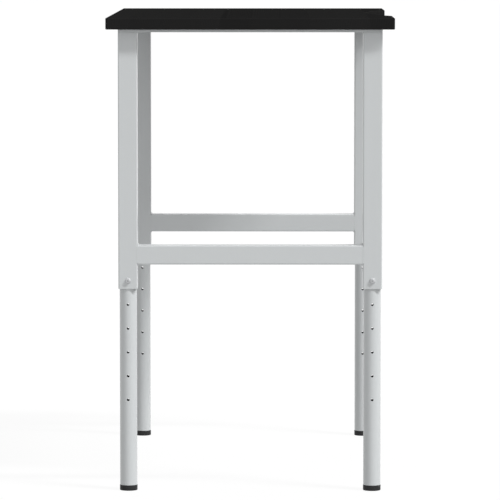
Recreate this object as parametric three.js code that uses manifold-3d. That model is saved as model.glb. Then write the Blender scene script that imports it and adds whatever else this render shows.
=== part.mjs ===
// Height-adjustable work bench: a solid wood top with a shallow front recess, carried by two welded
// end frames that stand on drilled telescopic legs.
// Millimetres, +Z up, floor at z = 0. +X runs along the bench and -Y is the front, with the recess.
import * as THREE from 'three';
import { mergeVertices } from 'three/addons/utils/BufferGeometryUtils.js';
import Module from 'manifold-3d';

const wasm = await Module();
wasm.setup();

// Wooden top
const topLength = 1000;
const topDepth = 600;
const topThickness = 24;
const topCornerRadius = 4;
const topEdgeRadius = 2;
const recessMouth = 580;
const recessDepth = 50;
const recessFillet = 30;

// End frames: square tube posts and cross beam under a flat bar
const tubeSize = 40;
const tubeWall = 1.5;
const tubeBoreRadius = 1;
const postLength = 535;
const frameEndInset = 22;
const frameSideInset = 25;
const beamAboveMouth = 51;
const barThickness = 6;

// Telescopic legs
const legClearance = 0.5;
const legWall = 1.5;
const legLength = 588.5;
const holePitch = 50;
const holeCount = 7;
const holesAboveBolt = 1;
const firstHoleDrop = 108;

// Feet: moulded caps with a ribbed plug inside the leg
const footHeight = 11.5;
const footRim = 0.5;
const footEdgeRadius = 1.5;
const plugClearance = 0.3;
const plugLength = 26;
const plugWall = 2.5;
const plugRibCount = 3;
const plugRibDepth = 1.2;

// Lock bolts: flanged round socket heads outside, nuts inside
const boltAboveMouth = 17;
const boltDiameter = 5.1;
const boltClearance = 0.2;
const boltHeadDiameter = 11;
const boltHeadHeight = 4.4;
const boltHeadRim = 1.6;
const boltFlangeDiameter = 13;
const boltFlangeRim = 0.4;
const boltFlangeRise = 0.3;
const boltSocketWidth = 3;
const boltSocketDepth = 2;
const boltTipChamfer = 0.8;
const boltBeyondNut = 4;
const nutWidth = 8;
const nutThickness = 4;

// Countersunk wood screws from below, through the bar
const screwsPerBar = 4;
const screwFromPost = 55;
const screwDiameter = 4.5;
const screwClearance = 0.3;
const screwHeadDiameter = 9;
const screwHeadRim = 0.4;
const screwHeadDrop = 0.2;
const screwTipLength = 5;
const woodAboveScrew = 7;

// Facet counts
const tubeCornerSteps = 3;
const topCornerSteps = 3;
const topEdgeSteps = 2;
const recessSteps = 32;
const filletSteps = 3;
const legSides = 28;
const footSides = 20;
const footEdgeSteps = 2;
const boltSides = 18;
const drillSides = 10;
const nutSides = 18;
const screwSides = 10;
const domeSteps = 3;

// Sizes that follow from the ones above
const tubeBore = tubeSize - 2 * tubeWall;
const tubeCornerRadius = tubeBoreRadius + tubeWall;
const legDiameter = tubeBore - 2 * legClearance;
const legBore = legDiameter - 2 * legWall;
const boltHole = boltDiameter + 2 * boltClearance;
const screwHole = screwDiameter + 2 * screwClearance;
const frameDepth = topDepth - 2 * frameSideInset;
const beamLength = frameDepth - 2 * tubeSize;
const boltLength = tubeSize + nutThickness + boltBeyondNut;
const pilotDepth = topThickness - woodAboveScrew;
const screwLength = barThickness + pilotDepth - screwClearance;

// Places that follow: the stack from the floor up, then the plan
const legTop = footHeight + legLength;
const boltZ = legTop - firstHoleDrop - holesAboveBolt * holePitch;
const postBottom = boltZ - boltAboveMouth;
const postTop = postBottom + postLength;
const beamZ = postBottom + beamAboveMouth + tubeSize / 2;
const topUnderside = postTop + barThickness;
const postX = topLength / 2 - frameEndInset - tubeSize / 2;
const postY = frameDepth / 2 - tubeSize / 2;

// Ends of the bench along X, and sides along Y
const ends = [{ name: 'left', sign: -1 }, { name: 'right', sign: 1 }];
const sides = [{ name: 'front', sign: -1 }, { name: 'rear', sign: 1 }];

const finishes = {
  wood: { color: 0x202020, roughness: 0.6, metalness: 0 },
  paint: { color: 0xc3c6c7, roughness: 0.5, metalness: 0.1 },
  zinc: { color: 0xb8bbbc, roughness: 0.35, metalness: 1 },
  plastic: { color: 0x2c2c2d, roughness: 0.7, metalness: 0 },
};

const bench = new THREE.Group();

function addPiece(name, geometry, finish, position, rotation = [0, 0, 0]) {
  const mesh = new THREE.Mesh(geometry, new THREE.MeshStandardMaterial(finishes[finish]));
  mesh.name = name;
  mesh.position.set(...position);
  mesh.rotation.set(...rotation);
  bench.add(mesh);
}

// A closed geometry as a solid that can be joined and cut
function solidOf(geometry) {
  const bare = geometry.clone();
  bare.deleteAttribute('normal');
  bare.deleteAttribute('uv');
  const merged = mergeVertices(bare);
  const corners = merged.index.array;
  const kept = [];
  for (let i = 0; i < corners.length; i += 3) {
    const [a, b, c] = corners.slice(i, i + 3);
    if (a !== b && b !== c && c !== a) kept.push(a, b, c);
  }
  return new wasm.Manifold(new wasm.Mesh({
    numProp: 3,
    vertProperties: merged.attributes.position.array,
    triVerts: new Uint32Array(kept),
  }));
}

function geometryOf(solid) {
  const mesh = solid.getMesh();
  const geometry = new THREE.BufferGeometry();
  geometry.setAttribute('position', new THREE.BufferAttribute(mesh.vertProperties, 3));
  geometry.setIndex(new THREE.BufferAttribute(mesh.triVerts, 1));
  geometry.computeVertexNormals();
  return geometry;
}

function cutAll(geometry, cutters) {
  return geometryOf(cutters.reduce((left, cutter) => left.subtract(solidOf(cutter)), solidOf(geometry)));
}

// Points along an arc, both ends included
function arc(centreX, centreY, radius, from, to, steps) {
  return Array.from({ length: steps + 1 }, (_, i) => {
    const angle = from + (to - from) * i / steps;
    return new THREE.Vector2(centreX + radius * Math.cos(angle), centreY + radius * Math.sin(angle));
  });
}

function roundedSquare(width, radius, steps) {
  const inner = width / 2 - radius;
  const quarter = Math.PI / 2;
  return [[1, -1], [1, 1], [-1, 1], [-1, -1]].flatMap(([x, y], i) => (
    arc(x * inner, y * inner, radius, (i - 1) * quarter, i * quarter, steps)));
}

function polygon(radius, count) {
  return arc(0, 0, radius, 0, 2 * Math.PI, count).slice(0, count);
}

function extrude(outline, holes, depth) {
  const shape = new THREE.Shape(outline);
  shape.holes = holes.map((points) => new THREE.Path(points));
  return new THREE.ExtrudeGeometry(shape, { depth, bevelEnabled: false });
}

// A solid turned about Z: the profile gives radius and height, and starts and ends on the axis
function turned(profile, segments) {
  const points = profile.map(([radius, height]) => new THREE.Vector2(radius, height));
  return new THREE.LatheGeometry(points, segments).rotateX(Math.PI / 2);
}

function rodAlongX(diameter, length, z) {
  const rod = new THREE.CylinderGeometry(diameter / 2, diameter / 2, length, drillSides);
  return rod.rotateZ(Math.PI / 2).translate(0, 0, z);
}

function squareTube(length) {
  const bore = roundedSquare(tubeBore, tubeBoreRadius, tubeCornerSteps);
  return extrude(roundedSquare(tubeSize, tubeCornerRadius, tubeCornerSteps), [bore], length);
}

// Where the screws stand along a bar, evenly between the posts
const screwReach = beamLength / 2 - screwFromPost;
const screwYs = Array.from({ length: screwsPerBar }, (_, i) => (
  -screwReach + 2 * screwReach * i / (screwsPerBar - 1)));

// Top: one outline with rounded corners and the recess, whose arc runs into the front edge by two fillets
function tableTop() {
  const halfLength = topLength / 2;
  const halfDepth = topDepth / 2;
  const cornerX = halfLength - topCornerRadius;
  const cornerY = halfDepth - topCornerRadius;
  const recessRadius = recessMouth ** 2 / (8 * recessDepth) + recessDepth / 2;
  const recessY = recessDepth - halfDepth - recessRadius;
  const filletY = recessFillet - halfDepth;
  const filletX = Math.sqrt((recessRadius + recessFillet) ** 2 - (filletY - recessY) ** 2);
  const lean = Math.atan2(filletX, filletY - recessY);
  const quarter = Math.PI / 2;
  const outline = [
    ...arc(-cornerX, -cornerY, topCornerRadius, -2 * quarter, -quarter, topCornerSteps),
    ...arc(-filletX, filletY, recessFillet, -quarter, lean - quarter, filletSteps),
    ...arc(0, recessY, recessRadius, quarter + lean, quarter - lean, recessSteps).slice(1, -1),
    ...arc(filletX, filletY, recessFillet, -quarter - lean, -quarter, filletSteps),
    ...arc(cornerX, -cornerY, topCornerRadius, -quarter, 0, topCornerSteps),
    ...arc(cornerX, cornerY, topCornerRadius, 0, quarter, topCornerSteps),
    ...arc(-cornerX, cornerY, topCornerRadius, quarter, 2 * quarter, topCornerSteps),
  ];
  const panel = new THREE.ExtrudeGeometry(new THREE.Shape(outline), {
    depth: topThickness - 2 * topEdgeRadius,
    bevelThickness: topEdgeRadius,
    bevelSize: topEdgeRadius,
    bevelOffset: -topEdgeRadius,
    bevelSegments: topEdgeSteps,
  });
  panel.translate(0, 0, topEdgeRadius);
  const pilot = extrude(polygon(screwHole / 2, screwSides), [], 2 * pilotDepth);
  const pilots = ends.flatMap(({ sign }) => screwYs.map((y) => (
    pilot.clone().translate(sign * postX, y, -pilotDepth))));
  return cutAll(panel, pilots);
}

// Flat bar on top of the posts, drilled and countersunk from below for the wood screws
function topBar() {
  const halfWidth = tubeSize / 2;
  const halfLength = frameDepth / 2;
  const outline = [[-1, -1], [1, -1], [1, 1], [-1, 1]].map(([x, y]) => (
    new THREE.Vector2(x * halfWidth, y * halfLength)));
  const holeRadius = screwHole / 2;
  const sinkRadius = screwHeadDiameter / 2 + screwClearance;
  const countersink = turned([
    [0, -barThickness],
    [sinkRadius, -barThickness],
    [sinkRadius, screwHeadDrop + screwHeadRim],
    [holeRadius, screwHeadDrop + screwHeadRim + sinkRadius - holeRadius],
    [holeRadius, 2 * barThickness],
    [0, 2 * barThickness],
  ], screwSides);
  const sinks = screwYs.map((y) => countersink.clone().translate(0, y, 0));
  return cutAll(extrude(outline, [], barThickness), sinks);
}

// Post: square tube, cross-drilled for the lock bolt near its open lower end
function post() {
  return cutAll(squareTube(postLength), [rodAlongX(boltHole, 2 * tubeSize, boltAboveMouth)]);
}

// Leg: round tube with a row of through holes, counted down from its upper end
function leg() {
  const tube = extrude(polygon(legDiameter / 2, legSides), [polygon(legBore / 2, legSides)], legLength);
  const drills = Array.from({ length: holeCount }, (_, i) => (
    rodAlongX(boltHole, 2 * legDiameter, legLength - firstHoleDrop - i * holePitch)));
  return cutAll(tube, drills);
}

// Foot: a cap under the leg with a hollow plug inside it, gripped by ring ribs
function foot() {
  const capRadius = legDiameter / 2 + footRim;
  const ribRadius = legBore / 2 - plugClearance;
  const plugRadius = ribRadius - plugRibDepth;
  const plugTop = footHeight + plugLength;
  const ribStep = plugLength / (plugRibCount + 1);
  const ribs = Array.from({ length: plugRibCount }, (_, i) => footHeight + ribStep * (i + 1));
  return turned([
    [0, 0],
    ...arc(capRadius - footEdgeRadius, footEdgeRadius, footEdgeRadius, -Math.PI / 2, 0, footEdgeSteps)
      .map((point) => point.toArray()),
    [capRadius, footHeight],
    [plugRadius, footHeight],
    ...ribs.flatMap((z) => [[plugRadius, z - plugRibDepth], [ribRadius, z], [plugRadius, z + plugRibDepth]]),
    [plugRadius, plugTop],
    [plugRadius - plugWall, plugTop],
    [plugRadius - plugWall, footHeight],
    [0, footHeight],
  ], footSides);
}

// Half of a rounded head's profile, from its rim to the axis: flat on top and full at the shoulder
function domedHead(headRadius, rim, height) {
  const shoulder = Array.from({ length: domeSteps }, (_, i) => {
    const angle = Math.PI / 2 * i / domeSteps;
    return [headRadius * Math.sqrt(Math.cos(angle)), rim + (height - rim) * Math.sqrt(Math.sin(angle))];
  });
  return [...shoulder, [0, height]];
}

// Lock bolt: the head's seat is at z = 0, the head above it and the shank below
function lockBolt() {
  const shankRadius = boltDiameter / 2;
  const body = turned([
    [0, -boltLength],
    [shankRadius - boltTipChamfer, -boltLength],
    [shankRadius, boltTipChamfer - boltLength],
    [shankRadius, 0],
    [boltFlangeDiameter / 2, 0],
    [boltFlangeDiameter / 2, boltFlangeRim],
    [boltHeadDiameter / 2, boltFlangeRim + boltFlangeRise],
    ...domedHead(boltHeadDiameter / 2, boltHeadRim, boltHeadHeight),
  ], boltSides);
  const socket = extrude(polygon(boltSocketWidth / Math.sqrt(3), 6), [], 2 * boltSocketDepth);
  return cutAll(body, [socket.translate(0, 0, boltHeadHeight - boltSocketDepth)]);
}

// Lock nut: a hexagon whose corners are turned off at both faces, seated at z = 0
function lockNut() {
  const cornerRadius = nutWidth / Math.sqrt(3);
  const corner = cornerRadius - nutWidth / 2;
  const hexagon = extrude(polygon(cornerRadius, 6), [polygon(boltHole / 2, boltSides)], nutThickness);
  const blank = turned([
    [0, 0],
    [nutWidth / 2, 0],
    [cornerRadius, corner / 2],
    [cornerRadius, nutThickness - corner / 2],
    [nutWidth / 2, nutThickness],
    [0, nutThickness],
  ], nutSides);
  return geometryOf(solidOf(hexagon).intersect(solidOf(blank)));
}

// Wood screw: the bar's underside is at z = 0, with the countersunk head just inside it and the point above
function woodScrew() {
  const shankRadius = screwDiameter / 2;
  const headRadius = screwHeadDiameter / 2;
  return turned([
    [0, screwHeadDrop],
    [headRadius, screwHeadDrop],
    [headRadius, screwHeadDrop + screwHeadRim],
    [shankRadius, screwHeadDrop + screwHeadRim + headRadius - shankRadius],
    [shankRadius, screwLength - screwTipLength],
    [0, screwLength],
  ], screwSides);
}

addPiece('table_top', tableTop(), 'wood', [0, 0, topUnderside]);

for (const end of ends) {
  const x = end.sign * postX;
  const outerFace = x + end.sign * tubeSize / 2;
  const innerFace = x - end.sign * tubeSize / 2;
  const outwards = [0, end.sign * Math.PI / 2, 0];
  const inwards = [0, -end.sign * Math.PI / 2, 0];
  const frontwards = [Math.PI / 2, 0, 0];
  addPiece(`${end.name}_top_bar`, topBar(), 'paint', [x, 0, postTop]);
  addPiece(`${end.name}_cross_beam`, squareTube(beamLength), 'paint', [x, beamLength / 2, beamZ], frontwards);
  screwYs.forEach((y, i) => {
    addPiece(`${end.name}_top_screw_${i + 1}`, woodScrew(), 'zinc', [x, y, postTop]);
  });
  for (const side of sides) {
    const y = side.sign * postY;
    const corner = `${end.name}_${side.name}`;
    addPiece(`${corner}_post`, post(), 'paint', [x, y, postBottom]);
    addPiece(`${corner}_leg`, leg(), 'paint', [x, y, footHeight]);
    addPiece(`${corner}_foot`, foot(), 'plastic', [x, y, 0]);
    addPiece(`${corner}_lock_bolt`, lockBolt(), 'zinc', [outerFace, y, boltZ], outwards);
    addPiece(`${corner}_lock_nut`, lockNut(), 'zinc', [innerFace, y, boltZ], inwards);
  }
}

export default bench;
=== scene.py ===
"""Height-adjustable work bench.

Builds the visible pieces of the bench around its packed frame: a black stained wood top, two grey
powder coated end frames, four drilled legs on moulded caps, and the bolts, nuts and screws that hold
them together. Lengths are metres in the frame's own axes: +X along the bench, -Y to its front, +Z up.
"""
import math

import bmesh
import bpy
from bpy.props import FloatProperty, FloatVectorProperty, IntProperty, PointerProperty
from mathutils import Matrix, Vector


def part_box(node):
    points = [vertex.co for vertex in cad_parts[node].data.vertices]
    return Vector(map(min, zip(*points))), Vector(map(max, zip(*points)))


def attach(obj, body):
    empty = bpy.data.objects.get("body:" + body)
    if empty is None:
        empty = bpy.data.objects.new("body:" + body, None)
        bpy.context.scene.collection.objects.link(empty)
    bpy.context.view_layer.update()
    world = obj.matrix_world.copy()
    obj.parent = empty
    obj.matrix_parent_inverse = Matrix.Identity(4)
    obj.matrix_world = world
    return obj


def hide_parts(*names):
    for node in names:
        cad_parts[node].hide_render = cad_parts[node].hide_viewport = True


bl_info = {
    "name": "Height-adjustable work bench",
    "version": (1, 0, 0),
    "blender": (4, 5, 0),
    "location": "3D View > Sidebar > Bench",
    "description": "Builds the bench's wood top, end frames, drilled legs and fasteners",
    "category": "Object",
}

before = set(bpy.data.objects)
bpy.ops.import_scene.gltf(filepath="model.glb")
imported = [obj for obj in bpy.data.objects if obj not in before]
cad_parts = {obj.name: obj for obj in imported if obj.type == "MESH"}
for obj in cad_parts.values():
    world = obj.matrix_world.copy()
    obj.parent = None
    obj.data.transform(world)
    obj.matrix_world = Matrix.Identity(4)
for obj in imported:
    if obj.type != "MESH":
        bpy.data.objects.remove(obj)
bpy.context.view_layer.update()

MM = 0.001
ENDS = {"left": -1, "right": 1}
SIDES = {"front": -1, "rear": 1}
CORNERS = {f"{end}_{side}": ENDS[end] for end in ENDS for side in SIDES}
SCREWS_PER_BAR = 4
SCREWS = {end: [f"{end}_top_screw_{i + 1}" for i in range(SCREWS_PER_BAR)] for end in ENDS}
QUADRANTS = ((1, 1), (-1, 1), (-1, -1), (1, -1))
TURNED_SIDES = 48
WHITE = (1, 1, 1, 1)
# Painted shade: the black that the wood top's upper face is blended towards
PAINTED_SHADE_BLACK = (0, 0, 0, 1)


def number(name, description, default, kind=FloatProperty, **traits):
    """A property with its name, description and default."""
    return kind(name=name, description=description, default=default, **traits)


def length(name, description, millimetres):
    """A length, with its default given in millimetres."""
    return number(name, description, millimetres * MM, unit="LENGTH", precision=4)


def colour(name, description, default):
    """A colour in linear red, green and blue."""
    return number(name, description, default, FloatVectorProperty, subtype="COLOR", size=3, min=0, max=1)


def angle(name, description, degrees):
    """An angle, with its default given in degrees."""
    return number(name, description, math.radians(degrees), subtype="ANGLE")


class BenchTopSettings(bpy.types.PropertyGroup):
    """Shape and grain of the wood top, and the painted shade on its upper face."""

    corner_radius: length("Corner radius", "Rounding of the four corners", 4)
    edge_radius: length("Edge radius", "Rounding of the upper and lower edges", 2)
    recess_mouth: length("Recess mouth", "Length of the recess along the front edge", 580)
    recess_depth: length("Recess depth", "Depth of the recess at its middle", 50)
    recess_fillet: length("Recess fillet", "Rounding at the recess's two ends", 30)
    stave_width: length("Stave width", "Width of one glued stave", 62)
    ring_spacing: length("Ring spacing", "Distance between two growth rings", 3.4)
    dark_stain: colour("Dark stain", "Colour of soft, stain-soaked wood", (0.0122, 0.0121, 0.0120))
    pale_stain: colour("Pale stain", "Colour of hard, stain-shedding wood", (0.0262, 0.0260, 0.0258))
    # Painted shade: share of black blended into the upper face, to offset the stronger light it gets from
    # above
    painted_top_shade: number("Face shade", "Share of black on the upper face", 0.25, min=0, max=1)


class BenchFrameSettings(bpy.types.PropertyGroup):
    """Tube and bar of the end frames."""

    tube_wall: length("Tube wall", "Wall of the square tube", 1.5)
    corner_radius: length("Tube corner radius", "Outer rounding of the square tube", 2.5)
    bar_edge: length("Bar edge radius", "Rounding of the flat bar's edges", 0.6)
    weld_radius: length("Weld radius", "Radius of the weld beads", 2)
    weld_crown: length("Weld crown", "How far a flush bead stands proud", 0.2)
    weld_ripple: length("Weld ripple", "Distance between two ripples of a bead", 1.7)
    paint: colour("Paint", "Colour of the powder coat", (0.585, 0.606, 0.612))


class BenchLegSettings(bpy.types.PropertyGroup):
    """Drilled legs and their caps."""

    wall: length("Leg wall", "Wall of the round tube", 1.5)
    hole_diameter: length("Hole diameter", "Diameter of the height holes", 5.5)
    hole_pitch: length("Hole pitch", "Distance between two height holes", 50)
    hole_count: number("Hole count", "Number of height holes in a leg", 7, IntProperty, min=1)
    first_hole: length("First hole", "Distance of the top hole from the leg's end", 108)
    cap_height: length("Cap height", "Height of the cap under the leg", 11.5)
    cap_edge: length("Cap edge radius", "Rounding of the cap's lower edge", 1.5)
    plastic: colour("Plastic", "Colour of the moulded caps", (0.018, 0.018, 0.0185))
    mill_scale: colour("Mill scale", "Colour of the bare steel inside the tube", (0.022, 0.021, 0.020))


class BenchFastenerSettings(bpy.types.PropertyGroup):
    """Lock bolts, nuts and wood screws."""

    bolt_diameter: length("Bolt diameter", "Diameter of the bolt's shank", 5.1)
    bolt_head: length("Bolt head diameter", "Diameter of the bolt's round head", 11)
    bolt_head_rim: length("Bolt head rim", "Height at which the round head starts to curve", 1.6)
    bolt_flange: length("Bolt flange diameter", "Diameter of the flange under the head", 13)
    flange_rim: length("Flange rim", "Height of the flange at its edge", 0.4)
    flange_rise: length("Flange rise", "Rise of the flange towards the head", 0.3)
    socket_width: length("Socket width", "Width of the socket across its flats", 3)
    thread_pitch: length("Thread pitch", "Distance between two turns of thread", 0.8)
    thread_length: length("Thread length", "Length of the bolt's thread", 18)
    nut_width: length("Nut width", "Width of the nut across its flats", 8)
    screw_diameter: length("Screw diameter", "Diameter of the wood screw's shank", 4.5)
    screw_land: length("Screw land", "Height of the straight rim of the countersunk head", 0.4)
    screw_room: length("Screw room", "Play between a screw and its hole", 0.3)
    zinc: colour("Zinc", "Colour of the zinc plating", (0.52, 0.53, 0.54))


class BenchStageSettings(bpy.types.PropertyGroup):
    """Camera, light and floor."""

    camera_place: number(
        "Camera place",
        "Where the camera stands, off the bench's left end",
        (-8.828, -0.0503, 1.1779),
        FloatVectorProperty,
        subtype="TRANSLATION",
    )
    camera_dip: angle("Camera dip", "How far the camera looks down", 4.5959)
    camera_turn: angle("Camera turn", "How far the camera turns from +X towards +Y", 0.3477)
    lens: number("Lens", "Focal length in millimetres", 289.37, min=1)
    strip_strength: number(
        "Strip strength", "Strengths of the strip's lamps", (0.98, 1.25, 0.66), FloatVectorProperty, min=0
    )
    strip_turn: number(
        "Strip turn",
        "Turns of the strip's lamps from -X towards -Y",
        [math.radians(turn) for turn in (54, 62, 70)],
        FloatVectorProperty,
        unit="ROTATION",
    )
    strip_rise: angle("Strip rise", "Height of the strip above the horizon, seen along Y", 67.4)
    strip_spread: angle("Strip spread", "Apparent size of each of its lamps", 7)
    front_strength: number("Front strength", "Strength of the front lamp", 0.30, min=0)
    front_rise: angle("Front rise", "Height of the front lamp above the horizon", 8)
    front_spread: angle("Front spread", "Apparent size of the front lamp", 30)
    back_strength: number("Back strength", "Strength of the back lamp", 0.60, min=0)
    back_rise: angle("Back rise", "Height of the back lamp above the horizon", 46)
    back_spread: angle("Back spread", "Apparent size of the back lamp", 30)
    room_strength: number("Room strength", "Light from all round", 0.43, min=0)
    floor_size: number("Floor size", "Side of the square floor", 600.0, unit="LENGTH", min=1)
    floor_colour: colour("Floor colour", "Colour of the floor to the eye", (0.88, 0.88, 0.88))
    floor_bounce: colour("Floor bounce", "Colour of the light that the floor throws back", (0.46, 0.46, 0.46))
    floor_white: number("Floor white", "Share of plain white in the floor to the eye", 0.92, min=0, max=1)


# Trees of nodes


def add(tree, kind, inputs=None, **settings):
    """Add a node with its settings, and give each named input a value or a link."""
    node = tree.nodes.new(kind)
    for name, value in settings.items():
        setattr(node, name, value)
    for key, value in (inputs or {}).items():
        socket = node.inputs[key]
        if isinstance(value, bpy.types.NodeSocket):
            tree.links.new(value, socket)
        else:
            socket.default_value = value
    return node


def out_of(tree, kind, inputs=None, **settings):
    """First output of a new node."""
    return add(tree, kind, inputs, **settings).outputs[0]


def sum_of(tree, operation, first, second=0.0, third=0.0):
    """Result of one step of shader arithmetic."""
    return out_of(tree, "ShaderNodeMath", {0: first, 1: second, 2: third}, operation=operation)


def vector_of(tree, operation, first, second=(0, 0, 0), third=(0, 0, 0)):
    """Result of one step of vector arithmetic."""
    return out_of(tree, "ShaderNodeVectorMath", {0: first, 1: second, 2: third}, operation=operation)


def blend_of(tree, share, first, second):
    """Colour between the first and the second, by share."""
    node = add(tree, "ShaderNodeMix", {0: share, 6: first, 7: second}, data_type="RGBA")
    return node.outputs[2]


def mapped(tree, value, low, high):
    """A value from 0 to 1 brought to a range."""
    return sum_of(tree, "MULTIPLY_ADD", value, high - low, low)


def ramp(tree, value, low, high, top=1.0):
    """Zero up to low, then a rise to the top at high."""
    values = {"Value": value, "From Min": low, "From Max": high, "To Max": top}
    return out_of(tree, "ShaderNodeMapRange", values, clamp=True)


def new_material(name, values=None):
    """A node material, its main shader set to the values, and the piece's coordinates."""
    material = bpy.data.materials.new(name)
    material.use_nodes = True
    tree = material.node_tree
    shader = tree.nodes["Principled BSDF"]
    for key, value in (values or {}).items():
        shader.inputs[key].default_value = value
    coordinates = add(tree, "ShaderNodeTexCoord").outputs["Object"]
    return material, tree, shader, coordinates


def shaded(rgb, factor=1):
    """A colour made lighter or darker, with full alpha."""
    return [*[channel * factor for channel in rgb], 1]


def noise(tree, coordinates, scale, detail, stretch=(1, 1, 1)):
    """Noise with so many cells to the metre, stretched along the axes."""
    scaled = vector_of(tree, "MULTIPLY", coordinates, stretch)
    return out_of(tree, "ShaderNodeTexNoise", {"Vector": scaled, "Scale": scale, "Detail": detail})


def vary(tree, shader, rgb, patches, tones, gloss, roughness):
    """Vary a finish in tone by its patches, and in roughness by its gloss."""
    base = blend_of(tree, patches, *[shaded(rgb, tone) for tone in tones])
    tree.links.new(base, shader.inputs["Base Color"])
    tree.links.new(mapped(tree, gloss, *roughness), shader.inputs["Roughness"])


def bumped(tree, shader, height, depth):
    """Raise the surface by a height from 0 to 1, up to the given depth."""
    bump = out_of(tree, "ShaderNodeBump", {"Height": height, "Distance": depth, "Strength": 1.0})
    tree.links.new(bump, shader.inputs["Normal"])


def stained_wood(settings, middle_height, face_height):
    """Black stained staves, each with growth rings of its own round a heart line along the bench, with
    painted shade darkening the upper face.
    """
    heart_spread = (3.0, 0.16, 0.12)
    heart_start = (0.0, -0.08, -0.06 - middle_height)
    along_grain = (0.05, 1, 1)
    waves_per_scale = 20 / math.tau
    ring_hardness = 2.2
    ring_relief = 0.5
    ring_weight = 0.55
    fibre_weight = 0.5
    stave_weight = 0.35
    pore_weight = 0.6
    pore_tone = 0.5
    # Band just under the upper face where the painted shade comes in
    painted_shade_from = face_height - 0.6 * MM
    painted_shade_to = face_height - 0.1 * MM
    material, tree, shader, coordinates = new_material("stained_staves", {"Specular IOR Level": 0.0})
    place = add(tree, "ShaderNodeSeparateXYZ", {0: coordinates}).outputs
    stave = sum_of(tree, "FLOOR", sum_of(tree, "DIVIDE", place["Y"], settings.stave_width))
    draw = add(tree, "ShaderNodeTexWhiteNoise", {"W": stave}, noise_dimensions="1D").outputs["Color"]
    heart = vector_of(tree, "MULTIPLY_ADD", draw, heart_spread, heart_start)
    moved = vector_of(tree, "ADD", coordinates, heart)
    rings = add(
        tree,
        "ShaderNodeTexWave",
        {
            "Vector": vector_of(tree, "MULTIPLY", moved, along_grain),
            "Scale": 1 / waves_per_scale / settings.ring_spacing,
            "Distortion": 9.0,
            "Detail": 2.0,
            "Detail Scale": 0.14,
            "Detail Roughness": 0.45,
        },
        wave_type="RINGS",
        rings_direction="X",
        wave_profile="SAW",
    ).outputs["Fac"]
    hard = sum_of(tree, "POWER", rings, ring_hardness)
    fibre = noise(tree, moved, scale=1.0, detail=3.0, stretch=(14, 900, 900))
    fleck = noise(tree, moved, scale=1.0, detail=2.0, stretch=(40, 1600, 1600))
    pores = ramp(tree, fleck, low=0.62, high=0.72)
    tone = add(tree, "ShaderNodeSeparateColor", {0: draw}).outputs[1]
    streaks = sum_of(tree, "MULTIPLY_ADD", hard, ring_weight, sum_of(tree, "MULTIPLY", fibre, fibre_weight))
    share = sum_of(tree, "MULTIPLY_ADD", sum_of(tree, "SUBTRACT", tone, 0.5), stave_weight, streaks)
    base = blend_of(tree, share, shaded(settings.dark_stain), shaded(settings.pale_stain))
    soaked = sum_of(tree, "MULTIPLY", pores, pore_weight)
    worn = blend_of(tree, soaked, base, shaded(settings.dark_stain, pore_tone))
    # Painted shade: the upper face is blended towards black, so it looks no brighter than the end faces under
    # the light from above
    upper = ramp(tree, place["Z"], painted_shade_from, painted_shade_to, settings.painted_top_shade)
    tree.links.new(blend_of(tree, upper, worn, PAINTED_SHADE_BLACK), shader.inputs["Base Color"])
    tree.links.new(mapped(tree, fibre, low=0.62, high=0.80), shader.inputs["Roughness"])
    relief = sum_of(tree, "SUBTRACT", sum_of(tree, "MULTIPLY_ADD", hard, ring_relief, fibre), pores)
    bumped(tree, shader, relief, depth=0.05 * MM)
    return material


def powder_coat(settings):
    """Light grey satin powder coat with a fine orange peel."""
    grit_weight = 0.25
    lacquer = {"Coat Weight": 0.4, "Coat Roughness": 0.18}
    material, tree, shader, coordinates = new_material("satin_powder_coat", lacquer)
    cloud = noise(tree, coordinates, scale=14.0, detail=3.0)
    peel = noise(tree, coordinates, scale=620.0, detail=1.0)
    grit = noise(tree, coordinates, scale=2600.0, detail=1.0)
    vary(tree, shader, settings.paint, cloud, tones=(0.985, 1.015), gloss=cloud, roughness=(0.36, 0.42))
    bumped(tree, shader, sum_of(tree, "MULTIPLY_ADD", grit, grit_weight, peel), depth=0.03 * MM)
    return material


def zinc_plate(settings):
    """Zinc plating, pale and somewhat dull, a little uneven in gloss."""
    material, tree, shader, coordinates = new_material("bright_zinc", {"Metallic": 0.3})
    bloom = noise(tree, coordinates, scale=420.0, detail=3.0)
    grain = noise(tree, coordinates, scale=5200.0, detail=1.0)
    vary(tree, shader, settings.zinc, bloom, tones=(0.92, 1.06), gloss=bloom, roughness=(0.54, 0.66))
    bumped(tree, shader, grain, depth=0.006 * MM)
    return material


def bare_steel(settings):
    """Uncoated steel, dark with mill scale."""
    material, tree, shader, coordinates = new_material("bare_mill_scale", {"Specular IOR Level": 0.2})
    flake = noise(tree, coordinates, scale=180.0, detail=4.0)
    vary(tree, shader, settings.mill_scale, flake, tones=(0.75, 1.25), gloss=flake, roughness=(0.62, 0.78))
    return material


def moulded_plastic(settings):
    """Matt black moulded plastic with a fine spark-eroded grain."""
    material, tree, shader, coordinates = new_material("moulded_cap_plastic", {"Specular IOR Level": 0.25})
    cloud = noise(tree, coordinates, scale=60.0, detail=2.0)
    grain = noise(tree, coordinates, scale=1800.0, detail=2.0)
    vary(tree, shader, settings.plastic, cloud, tones=(0.88, 1.12), gloss=grain, roughness=(0.52, 0.68))
    bumped(tree, shader, grain, depth=0.03 * MM)
    return material


def material_for(name, make, *values):
    """The finish of that name, made on its first use."""
    return bpy.data.materials.get(name) or make(*values)


# Meshes


def box_of(node):
    """Lower corner, upper corner and middle of a node."""
    low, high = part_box(node)
    return low, high, (low + high) / 2


def new_object(name, data):
    """Put a mesh, a lamp or a camera in the scene."""
    made = bpy.data.objects.new(name, data)
    bpy.context.scene.collection.objects.link(made)
    return made


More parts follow.
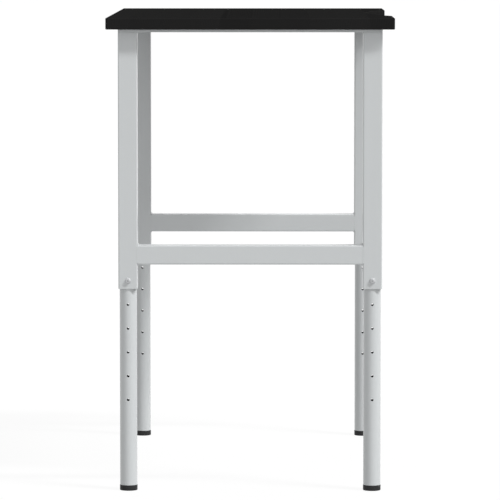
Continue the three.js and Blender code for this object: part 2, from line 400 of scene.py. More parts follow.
def object_of(name, shape, material=None):
    """Put a finished shape in the scene."""
    same_place = 1e-7
    bmesh.ops.remove_doubles(shape, verts=shape.verts, dist=same_place)
    bmesh.ops.recalc_face_normals(shape, faces=shape.faces)
    mesh = bpy.data.meshes.new(name)
    shape.to_mesh(mesh)
    shape.free()
    if material:
        mesh.materials.append(material)
    return new_object(name, mesh)


def discard(made):
    """Take an object and its mesh away."""
    mesh = made.data
    bpy.data.objects.remove(made)
    bpy.data.meshes.remove(mesh)


def settle(piece):
    """Turn a piece and its modifiers into one plain mesh."""
    graph = bpy.context.evaluated_depsgraph_get()
    mesh = bpy.data.meshes.new_from_object(piece.evaluated_get(graph), depsgraph=graph)
    old = piece.data
    piece.modifiers.clear()
    piece.data = mesh
    bpy.data.meshes.remove(old)
    mesh.name = piece.name


def carve(piece, tools, operation="DIFFERENCE"):
    """Cut the tools out of a piece, or keep what it shares with them."""
    for tool in tools:
        change = piece.modifiers.new("carve", "BOOLEAN")
        change.operation = operation
        change.solver = "EXACT"
        change.object = tool
    settle(piece)
    for tool in tools:
        discard(tool)


def bridge(shape, low, high):
    """Close the wall between two rings, either of which may be one point."""
    count = max(len(low), len(high))
    for i in range(count):
        j = (i + 1) % count
        corners = [low[i % len(low)], low[j % len(low)], high[j % len(high)], high[i % len(high)]]
        shape.faces.new(dict.fromkeys(corners))


def arc(x, y, radius, start, end, steps):
    """Points along an arc, both ends included."""
    angles = [start + (end - start) * i / steps for i in range(steps + 1)]
    return [(x + radius * math.cos(a), y + radius * math.sin(a)) for a in angles]


def turned(rows, sides, ripple=None):
    """Shape turned about Z from rows of radius and height, with a ripple on the radius if given."""
    shape = bmesh.new()
    rings = []
    for radius, height in rows:
        ring = []
        for i in range(sides if radius else 1):
            turn = math.tau * i / sides
            reach = radius + (ripple(turn, height) if ripple and radius else 0)
            ring.append(shape.verts.new((reach * math.cos(turn), reach * math.sin(turn), height)))
        rings.append(ring)
    for low, high in zip(rings, rings[1:]):
        bridge(shape, low, high)
    return shape


def polygon(radius, sides):
    """Corners of a regular polygon."""
    return arc(0, 0, radius, 0, math.tau * (1 - 1 / sides), sides - 1)


def hexagon(width):
    """Corners of a hexagon with the given width across its flats."""
    return polygon(width / math.sqrt(3), 6)


def skin(levels, looped=False):
    """Shape whose wall runs through outlines at their heights, with closed ends or as one loop."""
    shape = bmesh.new()
    rings = [[shape.verts.new((x, y, z)) for x, y in outline] for outline, z in levels]
    for below, above in zip(rings, rings[1:]):
        bridge(shape, below, above)
    if looped:
        bridge(shape, rings[-1], rings[0])
    else:
        shape.faces.new(reversed(rings[0]))
        shape.faces.new(rings[-1])
    return shape


def prism(outline, low, high):
    """Straight prism over an outline."""
    return skin([(outline, low), (outline, high)])


def placed(shape, place, along="Z"):
    """Turn a shape from Z to the given axis, then move it to its place."""
    for vertex in shape.verts:
        x, y, z = vertex.co
        vertex.co = {"X": (z, y, -x), "Y": (x, z, -y), "Z": (x, y, z)}[along]
        vertex.co += Vector(place)
    return shape


def drill(diameter, depth, place, along="Z", sides=40):
    """Round cutting tool, centred on its place."""
    shape = prism(polygon(diameter / 2, sides), -depth / 2, depth / 2)
    return object_of("drill", placed(shape, place, along))


def rounded_rectangle(width, depth, radius, steps, guard):
    """Rounded outline with a point on each flat, a guard's length before its corner."""
    points = []
    for quarter, (x, y) in enumerate(QUADRANTS):
        start = quarter * math.pi / 2
        end = start + math.pi / 2
        bend = arc(x * (width / 2 - radius), y * (depth / 2 - radius), radius, start, end, steps)
        points.append((bend[0][0] + guard * math.sin(start), bend[0][1] - guard * math.cos(start)))
        points.extend(bend)
        points.append((bend[-1][0] - guard * math.sin(end), bend[-1][1] + guard * math.cos(end)))
    return points


def slab(outline_at, low, high, edge, steps, guard):
    """Flat piece with rounded edges; outline_at gives its outline drawn in by a distance."""
    quarter = [math.pi / 2 * i / steps for i in range(steps + 1)]
    rise = [(edge * (1 - math.sin(a)), edge * (1 - math.cos(a))) for a in quarter]
    levels = [(edge + guard, low)]
    levels += [(inset, low + height) for inset, height in rise]
    levels += [(0, low + edge + guard), (0, high - edge - guard)]
    levels += [(inset, high - height) for inset, height in reversed(rise)]
    levels += [(edge + guard, high)]
    return skin([(outline_at(inset), z) for inset, z in levels])


def square_tube(size, wall, radius, tube_length):
    """Square tube along Z from zero, with rounded corners and slightly eased ends."""
    ease = 0.25 * MM

    def outline_at(inset):
        side = size - 2 * inset
        return rounded_rectangle(side, side, radius - inset, steps=8, guard=0.8 * MM)

    outer, eased, bore = [outline_at(inset) for inset in (0, ease, wall)]
    levels = [(eased, 0), (outer, ease), (outer, tube_length - ease), (eased, tube_length)]
    return skin([*levels, (bore, tube_length), (bore, 0)], looped=True)


def top_outline(settings, half_length, half_depth, inset):
    """Outline of the top drawn in by inset: rounded corners, and fillets into the recess."""
    corner = settings.corner_radius
    fillet = settings.recess_fillet
    recess = settings.recess_mouth**2 / (8 * settings.recess_depth) + settings.recess_depth / 2
    recess_y = settings.recess_depth - half_depth - recess
    fillet_y = fillet - half_depth
    fillet_x = math.sqrt((recess + fillet) ** 2 - (fillet_y - recess_y) ** 2)
    lean = math.atan2(fillet_x, fillet_y - recess_y)
    x = half_length - corner
    y = half_depth - corner
    quarter = math.pi / 2
    corner_steps = 6
    fillet_steps = 10
    recess_steps = 96
    return [
        *arc(-x, -y, corner - inset, -2 * quarter, -quarter, corner_steps),
        *arc(-fillet_x, fillet_y, fillet - inset, -quarter, lean - quarter, fillet_steps),
        *arc(0, recess_y, recess + inset, quarter + lean, quarter - lean, recess_steps)[1:-1],
        *arc(fillet_x, fillet_y, fillet - inset, -quarter - lean, -quarter, fillet_steps),
        *arc(x, -y, corner - inset, -quarter, 0, corner_steps),
        *arc(x, y, corner - inset, 0, quarter, corner_steps),
        *arc(-x, y, corner - inset, quarter, 2 * quarter, corner_steps),
    ]


def dome(radius, rim, height, steps):
    """Rows of a rounded head, from its rim to the axis: flat on top and full at the shoulder."""
    rows = []
    for i in range(steps):
        turn = math.pi / 2 * i / steps
        rise = (height - rim) * math.sqrt(math.sin(turn))
        rows.append((radius * math.sqrt(math.cos(turn)), rim + rise))
    return [*rows, (0, height)]


# Trees that repeat a piece or follow a path


def new_tree(name, sockets):
    """A geometry tree with its named inputs, and the identifier of each."""
    tree = bpy.data.node_groups.new(name, "GeometryNodeTree")
    tree.interface.new_socket("Geometry", in_out="OUTPUT", socket_type="NodeSocketGeometry")
    keys = {}
    for label, kind in sockets:
        socket = tree.interface.new_socket(label, in_out="INPUT", socket_type=f"NodeSocket{kind}")
        keys[label] = socket.identifier
    return tree, add(tree, "NodeGroupInput").outputs, keys


def finish_tree(tree, geometry, material, bare=None, bare_faces=None):
    """End a tree: instances become a mesh, and the mesh gets its finish, or two."""
    real = out_of(tree, "GeometryNodeRealizeInstances", {"Geometry": geometry})
    coated = out_of(tree, "GeometryNodeSetMaterial", {"Geometry": real, "Material": material})
    if bare:
        values = {"Geometry": coated, "Selection": bare_faces, "Material": bare}
        coated = out_of(tree, "GeometryNodeSetMaterial", values)
    add(tree, "NodeGroupOutput", {"Geometry": coated})


def grown(name, mesh, tree, keys, values):
    """Run a tree on a mesh and keep what it makes as a plain piece."""
    piece = new_object(name, mesh)
    change = piece.modifiers.new(tree.name, "NODES")
    change.node_group = tree
    for label, value in values.items():
        change[keys[label]] = value
    settle(piece)
    return piece


def cylinder(tree, sides, radius, depth):
    """Cylinder along Z, centred on the origin."""
    values = {"Vertices": sides, "Radius": radius, "Depth": depth}
    return add(tree, "GeometryNodeMeshCylinder", values).outputs["Mesh"]


def along_z(tree, height):
    """Vector along Z."""
    return out_of(tree, "ShaderNodeCombineXYZ", {"Z": height})


def drilled_leg_tree(material, bare):
    """Round tube on its foot point, bare inside, with a row of holes drilled through along X."""
    tube_sides = 128
    hole_sides = 40
    past_ends = 1.1
    past_walls = 3.0
    bore_margin = 1.005
    lengths = ("Length", "Radius", "Bore Radius", "Hole Radius", "Hole Pitch", "Highest Hole")
    sockets = [("Foot", "Vector"), ("Hole Count", "Int"), *[(label, "Float") for label in lengths]]
    tree, given, keys = new_tree("Drilled leg", sockets)
    half = sum_of(tree, "MULTIPLY", given["Length"], 0.5)
    tube = cylinder(tree, tube_sides, given["Radius"], given["Length"])
    bore_depth = sum_of(tree, "MULTIPLY", given["Length"], past_ends)
    bore = cylinder(tree, tube_sides, given["Bore Radius"], bore_depth)
    hole_depth = sum_of(tree, "MULTIPLY", given["Radius"], past_walls)
    hole = cylinder(tree, hole_sides, given["Hole Radius"], hole_depth)
    start = along_z(tree, sum_of(tree, "SUBTRACT", given["Highest Hole"], half))
    step = along_z(tree, sum_of(tree, "MULTIPLY", given["Hole Pitch"], -1.0))
    values = {"Count": given["Hole Count"], "Start Location": start, "Offset": step}
    row = add(tree, "GeometryNodeMeshLine", values).outputs["Mesh"]
    values = {"Points": row, "Instance": hole, "Rotation": (0, math.pi / 2, 0)}
    holes = add(tree, "GeometryNodeInstanceOnPoints", values).outputs["Instances"]
    drills = out_of(tree, "GeometryNodeRealizeInstances", {0: holes})
    cut = add(tree, "GeometryNodeMeshBoolean", {"Mesh 1": tube}, operation="DIFFERENCE", solver="EXACT")
    for tool in (bore, drills):
        tree.links.new(tool, cut.inputs["Mesh 2"])
    stand = vector_of(tree, "ADD", given["Foot"], along_z(tree, half))
    values = {"Geometry": cut.outputs["Mesh"], "Translation": stand}
    moved = out_of(tree, "GeometryNodeTransform", values)
    place = out_of(tree, "GeometryNodeInputPosition")
    off_axis = vector_of(tree, "MULTIPLY", vector_of(tree, "SUBTRACT", place, given["Foot"]), (1, 1, 0))
    reach = add(tree, "ShaderNodeVectorMath", {0: off_axis}, operation="LENGTH").outputs["Value"]
    bore_reach = sum_of(tree, "MULTIPLY", given["Bore Radius"], bore_margin)
    finish_tree(tree, moved, material, bare, sum_of(tree, "LESS_THAN", reach, bore_reach))
    return tree, keys


def seat_tree(material):
    """Set one piece on each point, with its Z axis the way the point faces."""
    tree, given, keys = new_tree("Seat on points", [("Seats", "Geometry"), ("Piece", "Object")])
    piece = add(tree, "GeometryNodeObjectInfo", {"Object": given["Piece"]}).outputs["Geometry"]
    facing = out_of(tree, "GeometryNodeInputNamedAttribute", {"Name": "facing"}, data_type="FLOAT_VECTOR")
    turn = out_of(tree, "FunctionNodeAlignRotationToVector", {"Vector": facing}, axis="Z")
    values = {"Points": given["Seats"], "Instance": piece, "Rotation": turn}
    seated = add(tree, "GeometryNodeInstanceOnPoints", values).outputs["Instances"]
    finish_tree(tree, seated, material)
    return tree, keys


def weld_tree(material):
    """Rippled bead along each edge of a mesh."""
    ripple_share = 0.05
    beat_share = 0.04
    beat_rate = 0.37
    lengths = [(label, "Float") for label in ("Radius", "Ripple", "Step")]
    tree, given, keys = new_tree("Weld bead", [("Seams", "Geometry"), *lengths])
    seams = out_of(tree, "GeometryNodeMeshToCurve", {0: given["Seams"]})
    values = {"Curve": seams, "Length": given["Step"]}
    fine = out_of(tree, "GeometryNodeResampleCurve", values, mode="LENGTH")
    along = add(tree, "GeometryNodeSplineParameter").outputs["Length"]
    turns = sum_of(tree, "MULTIPLY", sum_of(tree, "DIVIDE", along, given["Ripple"]), math.tau)
    beat = sum_of(tree, "SINE", sum_of(tree, "MULTIPLY", turns, beat_rate))
    swell = sum_of(tree, "MULTIPLY_ADD", sum_of(tree, "SINE", turns), ripple_share, 1.0)
    swell = sum_of(tree, "MULTIPLY_ADD", beat, beat_share, swell)
    reach = sum_of(tree, "MULTIPLY", swell, given["Radius"])
    ring = add(tree, "GeometryNodeCurvePrimitiveCircle", {"Resolution": 20, "Radius": 1.0}).outputs["Curve"]
    values = {"Curve": fine, "Profile Curve": ring, "Scale": reach, "Fill Caps": True}
    finish_tree(tree, out_of(tree, "GeometryNodeCurveToMesh", values), material)
    return tree, keys


def seat(name, pattern, material, places, facings):
    """One piece with a pattern seated at each place, facing the way given."""
    mesh = bpy.data.meshes.new(name)
    mesh.from_pydata(places, [], [])
    facing = mesh.attributes.new("facing", "FLOAT_VECTOR", "POINT")
    for value, direction in zip(facing.data, facings):
        value.vector = direction
    tree, keys = seat_tree(material)
    piece = grown(name, mesh, tree, keys, {"Piece": pattern})
    discard(pattern)
    return piece


def hand_over(piece, body, slot, *nodes, degrees=30):
    """Smooth a piece up to an angle and let it ride on its body, in place of its nodes; the slot is not used.
    """
    piece.data.shade_smooth()
    piece.data.set_sharp_from_angle(angle=math.radians(degrees))
    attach(piece, body)
    if nodes:
        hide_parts(*nodes)


# Pieces and their operators


class BENCH_OT_wood_top(bpy.types.Operator):
    """Build the wood top with its recessed front edge"""

    bl_idname = "bench.wood_top"
    bl_label = "Wood top"

    def execute(self, context):
        settings = context.scene.bench_top
        fastener = context.scene.bench_fastener
        low, high, middle = box_of("table_top")
        half = (high - low) / 2
        material = material_for("stained_staves", stained_wood, settings, middle.z, high.z)

        def outline_at(inset):
            return top_outline(settings, half.x, half.y, inset)

        shape = slab(outline_at, low.z, high.z, settings.edge_radius, steps=5, guard=1.2 * MM)
        piece = object_of("wood_top", shape, material)
        width = fastener.screw_diameter + 2 * fastener.screw_room
        pilots = []
        for node in sum(SCREWS.values(), []):
            _, above, screw = box_of(node)
            depth = 2 * (above.z + fastener.screw_room - low.z)
            pilots.append(drill(width, depth, (screw.x, screw.y, low.z)))
        carve(piece, pilots)
        hand_over(piece, "bench", "black_stained_wood", "table_top")
        return {"FINISHED"}


def build_post(corner, settings, material):
    """Square post, drilled for its lock bolt."""
    low, high, middle = box_of(f"{corner}_post")
    size = high.x - low.x
    shape = square_tube(size, settings.tube_wall, settings.corner_radius, high.z - low.z)
    piece = object_of(f"{corner}_post_tube", placed(shape, (middle.x, middle.y, low.z)), material)
    bolt = box_of(f"{corner}_lock_bolt")[2]
    diameter = bpy.context.scene.bench_leg.hole_diameter
    carve(piece, [drill(diameter, 2 * size, (middle.x, middle.y, bolt.z), "X")])
    hand_over(piece, "bench", "grey_powder_coat", f"{corner}_post")


def build_beam(end, settings, material):
    """Square cross beam between two posts."""
    low, high, middle = box_of(f"{end}_cross_beam")
    shape = square_tube(high.x - low.x, settings.tube_wall, settings.corner_radius, high.y - low.y)
    piece = object_of(f"{end}_beam_tube", placed(shape, (middle.x, low.y, middle.z), "Y"), material)
    hand_over(piece, "bench", "grey_powder_coat", f"{end}_cross_beam")


def build_bar(end, settings, material):
    """Flat bar on top of an end frame, countersunk for its screws."""
    low, high, middle = box_of(f"{end}_top_bar")
    edge = settings.bar_edge
    guard = 0.5 * MM

    def outline_at(inset):
        width = high.x - low.x - 2 * inset
        depth = high.y - low.y - 2 * inset
        return rounded_rectangle(width, depth, 2 * edge + guard - inset, steps=4, guard=guard)

    shape = slab(outline_at, low.z, high.z, edge, steps=3, guard=guard)
    piece = object_of(f"{end}_flat_bar", placed(shape, (middle.x, middle.y, 0)), material)
    sinks = []
    for node in SCREWS[end]:
        below, above, screw = box_of(node)
        shape = countersink(above.x - screw.x, below.z - low.z, high.z - low.z)
        sinks.append(object_of("sink", placed(shape, (screw.x, screw.y, low.z))))
    carve(piece, sinks)
    hand_over(piece, "bench", "grey_powder_coat", f"{end}_top_bar")


def countersink(rim, drop, thickness):
    """Cutting tool for a screw hole that widens to the head at the bar's underside."""
    settings = bpy.context.scene.bench_fastener
    hole = settings.screw_diameter / 2 + settings.screw_room
    sink = rim + settings.screw_room
    land = drop + settings.screw_land
    rows = [(0, -thickness), (sink, -thickness), (sink, land), (hole, land + sink - hole)]
    rows += [(hole, 2 * thickness), (0, 2 * thickness)]
    return turned(rows, TURNED_SIDES)


class BENCH_OT_end_frames(bpy.types.Operator):
    """Build the posts, cross beams and flat bars of both end frames"""

    bl_idname = "bench.end_frames"
    bl_label = "End frames"

    def execute(self, context):
        settings = context.scene.bench_frame
        material = material_for("satin_powder_coat", powder_coat, settings)
        for corner in CORNERS:
            build_post(corner, settings, material)
        for end in ENDS:
            build_beam(end, settings, material)
            build_bar(end, settings, material)
        return {"FINISHED"}


def weld_seams(settings, low, high, bar, side):
    """End points of the seams at one end of a beam: two flush, two fillets, and one under the bar."""
    groove_share = 0.4
    joint = low.y if side < 0 else high.y
    tip = settings.corner_radius
    sunk = settings.weld_radius - settings.weld_crown
    groove = joint + side * groove_share * tip
    ends = []
    for face, inwards in ((low.x, 1), (high.x, -1)):
        x = face + inwards * sunk
        ends += [(x, groove, low.z + tip), (x, groove, high.z - tip)]
    for height in (low.z, high.z, bar):
        ends += [(low.x + tip, joint, height), (high.x - tip, joint, height)]
    return ends


class BENCH_OT_welds(bpy.types.Operator):
    """Lay the weld beads between posts, beams and bars"""

    bl_idname = "bench.welds"
    bl_label = "Weld beads"

    def execute(self, context):
        settings = context.scene.bench_frame
        material = material_for("satin_powder_coat", powder_coat, settings)
        points = []
        for end in ENDS:
            low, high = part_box(f"{end}_cross_beam")
            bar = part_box(f"{end}_top_bar")[0].z
            for side in SIDES.values():
                points += weld_seams(settings, low, high, bar, side)
        mesh = bpy.data.meshes.new("weld_beads")
        mesh.from_pydata(points, [(i, i + 1) for i in range(0, len(points), 2)], [])
        tree, keys = weld_tree(material)
        values = {"Radius": settings.weld_radius, "Ripple": settings.weld_ripple, "Step": 0.4 * MM}
        piece = grown("weld_beads", mesh, tree, keys, values)
        hand_over(piece, "bench", "grey_powder_coat", degrees=40)
        return {"FINISHED"}


class BENCH_OT_legs(bpy.types.Operator):
    """Drill the four legs with their rows of height holes"""

    bl_idname = "bench.legs"
    bl_label = "Drilled legs"

    def execute(self, context):
        settings = context.scene.bench_leg
        material = material_for("satin_powder_coat", powder_coat, context.scene.bench_frame)
        tree, keys = drilled_leg_tree(material, material_for("bare_mill_scale", bare_steel, settings))
        for corner in CORNERS:
            low, high, middle = box_of(f"{corner}_leg")
            radius = (high.x - low.x) / 2
            leg_length = high.z - low.z
            values = {
                "Foot": (middle.x, middle.y, low.z),
                "Length": leg_length,
                "Radius": radius,
                "Bore Radius": radius - settings.wall,
                "Hole Radius": settings.hole_diameter / 2,
                "Hole Pitch": settings.hole_pitch,
                "Hole Count": settings.hole_count,
                "Highest Hole": leg_length - settings.first_hole,
            }
            piece = grown(f"{corner}_drilled_leg", bpy.data.meshes.new("leg"), tree, keys, values)
            hand_over(piece, f"{corner}_slider", "grey_powder_coat", f"{corner}_leg")
        return {"FINISHED"}


def cap_profile(settings, radius, bore, height):
    """Rows of the cap from the middle of its sole to the floor of its hollow plug."""
    room = 0.3 * MM
    rib_height = 1.2 * MM
    plug_wall = 2.5 * MM
    rib_count = 3
    sole_rise = 0.5 * MM
    root = 0.5 * MM
    lip = 0.4 * MM
    crest = (-0.2 * MM, 0.1 * MM)
    edge = settings.cap_edge
    brim = settings.cap_height
    rib = bore - room
    core = rib - rib_height
    hollow = core - plug_wall
    dish = 0.55 * radius
    tread = 0.6 * radius
    rows = [(0, sole_rise), (dish, sole_rise), (tread, 0), (tread + lip, 0)]
    rows += arc(radius - edge, edge, edge, -math.pi / 2, 0, steps=6)
    rows += arc(radius - lip, brim - lip, lip, 0, math.pi / 2, steps=4)
    rows += [(core + root, brim), (core, brim + root)]
    for i in range(rib_count):
        middle = brim + (height - brim) * (i + 1) / (rib_count + 1)
        rows += [(core, middle - rib_height), *[(rib, middle + z) for z in crest]]
        rows += [(core, middle + rib_height)]
    rows += [(core, height - lip), (core - lip, height), (hollow, height)]
    return [*rows, (hollow, brim), (0, brim)]


class BENCH_OT_caps(bpy.types.Operator):
    """Turn the caps under the legs, with the ribbed plugs that hold them"""

    bl_idname = "bench.caps"
    bl_label = "Leg caps"

    def execute(self, context):
        settings = context.scene.bench_leg
        material = material_for("moulded_cap_plastic", moulded_plastic, settings)
        for corner in CORNERS:
            low, high, middle = box_of(f"{corner}_foot")
            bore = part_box(f"{corner}_leg")[1].x - middle.x - settings.wall
            shape = turned(cap_profile(settings, high.x - middle.x, bore, high.z - low.z), 2 * TURNED_SIDES)
            piece = object_of(f"{corner}_cap", placed(shape, (middle.x, middle.y, low.z)), material)
            hand_over(piece, f"{corner}_slider", "black_plastic", f"{corner}_foot")
        return {"FINISHED"}


def seat_all(kind, pattern, material, seats, degrees):
    """Seat a bolt or a nut at each corner."""
    piece = seat(f"{kind}s", pattern, material, *zip(*seats))
    nodes = [f"{corner}_{kind}" for corner in CORNERS]
    hand_over(piece, "bench", "zinc_plated_steel", *nodes, degrees=degrees)


def lock_bolt(settings, shank, head):
    """Bolt seated at zero: a flanged round socket head above and a threaded shank below."""
    chamfer = 0.8 * MM
    thread_depth = 0.42 * MM
    ease = 0.12 * MM
    socket_depth = 2 * MM
    rows_per_turn = 8
    radius = settings.bolt_diameter / 2
    pitch = settings.thread_pitch
    thread_start = chamfer - shank
    thread_end = settings.thread_length - shank
    count = round((settings.thread_length - chamfer) / pitch * rows_per_turn)
    rows = [(0, -shank), (radius - chamfer, -shank)]
    rows += [(radius, thread_start + i * pitch / rows_per_turn) for i in range(count + 1)]
    rim = settings.bolt_head / 2
    flange = settings.bolt_flange / 2
    flange_rim = settings.flange_rim
    rows += [(radius, 0), (flange - ease, 0), (flange, ease), (flange, flange_rim - ease)]
    rows += [(flange - ease, flange_rim), (rim, flange_rim + settings.flange_rise)]
    rows += dome(rim, settings.bolt_head_rim, head, steps=14)

    def thread(turn, height):
        if not thread_start < height < thread_end:
            return 0
        fade = min(1, (thread_end - height) / pitch)
        return -thread_depth * fade * (0.5 - 0.5 * math.cos(math.tau * height / pitch - turn))

    piece = object_of("bolt", turned(rows, TURNED_SIDES, thread))
    socket = prism(hexagon(settings.socket_width), head - socket_depth, head + socket_depth)
    carve(piece, [object_of("socket", socket)])
    return piece


def lock_nut(settings, thickness):
    """Hexagon nut seated at zero, with its corners turned off at both faces."""
    room = 0.2 * MM
    flat = settings.nut_width / 2
    corner = settings.nut_width / math.sqrt(3)
    drop = (corner - flat) / 2
    face = 0.97 * flat
    slope = 1.6 * drop
    piece = object_of("nut", prism(hexagon(settings.nut_width), 0, thickness))
    rows = [(0, 0), (face, 0), (corner + drop, slope), (corner + drop, thickness - slope)]
    rows += [(face, thickness), (0, thickness)]
    carve(piece, [object_of("blank", turned(rows, sides=72))], "INTERSECT")
    carve(piece, [drill(settings.bolt_diameter + room, 4 * thickness, (0, 0, 0))])
    return piece


class BENCH_OT_lock_bolts(bpy.types.Operator):
    """Seat the lock bolts in the posts, with a nut on each"""

    bl_idname = "bench.lock_bolts"
    bl_label = "Lock bolts and nuts"

    def execute(self, context):
        settings = context.scene.bench_fastener
        material = material_for("bright_zinc", zinc_plate, settings)
        heads = []
        nuts = []
        for corner, end in CORNERS.items():
            low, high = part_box(f"{corner}_post")
            bolt = box_of(f"{corner}_lock_bolt")[2]
            outer, inner = (low.x, high.x) if end < 0 else (high.x, low.x)
            heads.append(((outer, bolt.y, bolt.z), (end, 0, 0)))
            nuts.append(((inner, bolt.y, bolt.z), (-end, 0, 0)))
        low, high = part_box("right_front_lock_bolt")
        head = high.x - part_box("right_front_post")[1].x
        pattern = lock_bolt(settings, high.x - low.x - head, head)
        seat_all("lock_bolt", pattern, material, heads, degrees=35)
        low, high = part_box("right_front_lock_nut")
        pattern = lock_nut(settings, high.x - low.x)
        seat_all("lock_nut", pattern, material, nuts, degrees=30)
        return {"FINISHED"}


def wood_screw(settings, rim, drop, shank):
    """Wood screw from the bar's face at zero: a countersunk head with a cross recess, and a point."""
    point = 2.2 * MM
    taper = 5 * MM
    ease = 0.1 * MM
    slot_length = 4.6 * MM
    slot_width = 0.9 * MM
    slot_depth = 1.6 * MM
    radius = settings.screw_diameter / 2
    land = drop + settings.screw_land
    neck = land + rim - radius
    rows = [(0, -shank), (radius / 2, point - shank), (radius, taper - shank), (radius, -neck)]
    rows += [(rim, -land), (rim, -drop - ease), (rim - ease, -drop), (0, -drop)]
    piece = object_of("screw", turned(rows, TURNED_SIDES))
    slots = []
    for wide, deep in ((slot_length, slot_width), (slot_width, slot_length)):
        outline = [(x * wide / 2, y * deep / 2) for x, y in QUADRANTS]
        slots.append(object_of("slot", prism(outline, -drop - slot_depth, slot_depth)))
    carve(piece, slots)
    return piece


class BENCH_OT_top_screws(bpy.types.Operator):
    """Seat the wood screws that hold the top, from below"""

    bl_idname = "bench.top_screws"
    bl_label = "Top screws"

    def execute(self, context):
        settings = context.scene.bench_fastener
        material = material_for("bright_zinc", zinc_plate, settings)
        nodes = sum(SCREWS.values(), [])
        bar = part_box("left_top_bar")[0].z
        seats = [(screw.x, screw.y, bar) for _, _, screw in map(box_of, nodes)]
        low, high, middle = box_of(nodes[0])
        pattern = wood_screw(settings, high.x - middle.x, low.z - bar, high.z - bar)
        piece = seat("top_screws", pattern, material, seats, [(0, 0, -1)] * len(seats))
        hand_over(piece, "bench", "zinc_plated_steel", *nodes, degrees=35)
        return {"FINISHED"}


def empty_tree(owner):
    """The cleared node tree of a material or a world."""
    owner.use_nodes = True
    owner.node_tree.nodes.clear()
    return owner.node_tree


def seen_plainly(tree):
    """One for rays from the camera, a mirror or something clear, and zero for others."""
    path = add(tree, "ShaderNodeLightPath").outputs
    mirrored = sum_of(tree, "MAXIMUM", path["Is Glossy Ray"], path["Is Transmission Ray"])
    return sum_of(tree, "MAXIMUM", path["Is Camera Ray"], mirrored)


def lay_floor(settings):
    """Pale floor, near white to the eye with a faint shadow, and clear from below."""
    half = settings.floor_size / 2
    mesh = bpy.data.meshes.new("floor")
    mesh.from_pydata([(x * half, y * half, 0) for x, y in QUADRANTS], [], [(0, 1, 2, 3)])
    material = bpy.data.materials.new("pale_floor")
    tree = empty_tree(material)
    seen = seen_plainly(tree)
    tint = blend_of(tree, seen, shaded(settings.floor_bounce), shaded(settings.floor_colour))
    matt = out_of(tree, "ShaderNodeBsdfDiffuse", {"Color": tint})
    white = out_of(tree, "ShaderNodeEmission", {"Color": WHITE, "Strength": 1.0})
    share = sum_of(tree, "MULTIPLY", seen, settings.floor_white)
    upper = out_of(tree, "ShaderNodeMixShader", {0: share, 1: matt, 2: white})
    below = add(tree, "ShaderNodeNewGeometry").outputs["Backfacing"]
    clear = out_of(tree, "ShaderNodeBsdfTransparent")
    mixed = out_of(tree, "ShaderNodeMixShader", {0: below, 1: upper, 2: clear})
    add(tree, "ShaderNodeOutputMaterial", {"Surface": mixed})
    mesh.materials.append(material)
    new_object("floor", mesh)


def light_room(scene, settings):
    """Even light from all round, with a white room to the eye and in reflections."""
    scene.world = bpy.data.worlds.new("room")
    tree = empty_tree(scene.world)
    soft = out_of(tree, "ShaderNodeBackground", {"Color": WHITE, "Strength": settings.room_strength})
    white = out_of(tree, "ShaderNodeBackground", {"Color": WHITE, "Strength": 1.0})
    mixed = out_of(tree, "ShaderNodeMixShader", {0: seen_plainly(tree), 1: soft, 2: white})
    add(tree, "ShaderNodeOutputWorld", {"Surface": mixed})


def hang_lamp(name, strength, turn, rise, spread):
    """Distant lamp at a turn off the bench's left end and a rise above the horizon."""
    lamp = bpy.data.lights.new(name, "SUN")
    lamp.energy = strength
    lamp.angle = spread
    flat = math.cos(rise)
    shine = Vector((math.cos(turn) * flat, math.sin(turn) * flat, -math.sin(rise)))
    new_object(name, lamp).rotation_euler = shine.to_track_quat("-Z", "Y").to_euler()


def stand_camera(scene, settings):
    """Camera off the left end, looking along the bench and slightly down."""
    camera = bpy.data.cameras.new("camera")
    camera.lens = settings.lens
    camera.sensor_width = 36
    camera.clip_end = 2000
    made = new_object("camera", camera)
    made.location = settings.camera_place
    made.rotation_euler = (math.pi / 2 - settings.camera_dip, 0, settings.camera_turn - math.pi / 2)
    scene.camera = made


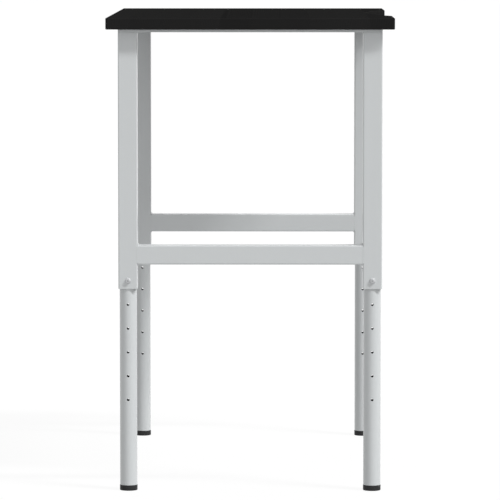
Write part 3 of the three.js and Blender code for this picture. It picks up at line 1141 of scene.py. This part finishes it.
class BENCH_OT_stage(bpy.types.Operator):
    """Set up the floor, the light and the camera"""

    bl_idname = "bench.stage"
    bl_label = "Stage"

    def execute(self, context):
        settings = context.scene.bench_stage
        context.scene.view_settings.view_transform = "Standard"
        lay_floor(settings)
        light_room(context.scene, settings)
        for i, (strength, turn) in enumerate(zip(settings.strip_strength, settings.strip_turn)):
            rise = math.atan(math.tan(settings.strip_rise) * math.cos(turn))
            hang_lamp(f"strip_{i + 1}", strength, turn, rise, settings.strip_spread)
        hang_lamp("front", settings.front_strength, 0, settings.front_rise, settings.front_spread)
        hang_lamp("back", settings.back_strength, math.pi, settings.back_rise, settings.back_spread)
        stand_camera(context.scene, settings)
        return {"FINISHED"}


class BENCH_PT_bench(bpy.types.Panel):
    """Lists the bench's pieces and their sizes"""

    bl_label = "Work bench"
    bl_idname = "BENCH_PT_bench"
    bl_space_type = "VIEW_3D"
    bl_region_type = "UI"
    bl_category = "Bench"

    def draw(self, context):
        for operator in OPERATORS:
            self.layout.operator(operator.bl_idname)
        for name, group in GROUPS.items():
            box = self.layout.box()
            box.label(text=group.__doc__)
            for field in group.__annotations__:
                box.prop(getattr(context.scene, name), field)


GROUPS = {
    "bench_top": BenchTopSettings,
    "bench_frame": BenchFrameSettings,
    "bench_leg": BenchLegSettings,
    "bench_fastener": BenchFastenerSettings,
    "bench_stage": BenchStageSettings,
}
OPERATORS = (
    BENCH_OT_wood_top,
    BENCH_OT_end_frames,
    BENCH_OT_welds,
    BENCH_OT_legs,
    BENCH_OT_caps,
    BENCH_OT_lock_bolts,
    BENCH_OT_top_screws,
    BENCH_OT_stage,
)


def register():
    """Make the settings, operators and panel known to Blender."""
    for kind in (*GROUPS.values(), *OPERATORS, BENCH_PT_bench):
        bpy.utils.register_class(kind)
    for name, group in GROUPS.items():
        setattr(bpy.types.Scene, name, PointerProperty(type=group))


def unregister():
    """Take the settings, operators and panel away again."""
    for name in GROUPS:
        delattr(bpy.types.Scene, name)
    for kind in reversed((*GROUPS.values(), *OPERATORS, BENCH_PT_bench)):
        bpy.utils.unregister_class(kind)


def main():
    register()
    bpy.ops.bench.wood_top()
    bpy.ops.bench.end_frames()
    bpy.ops.bench.welds()
    bpy.ops.bench.legs()
    bpy.ops.bench.caps()
    bpy.ops.bench.lock_bolts()
    bpy.ops.bench.top_screws()
    bpy.ops.bench.stage()


if __name__ == "__main__":
    main()
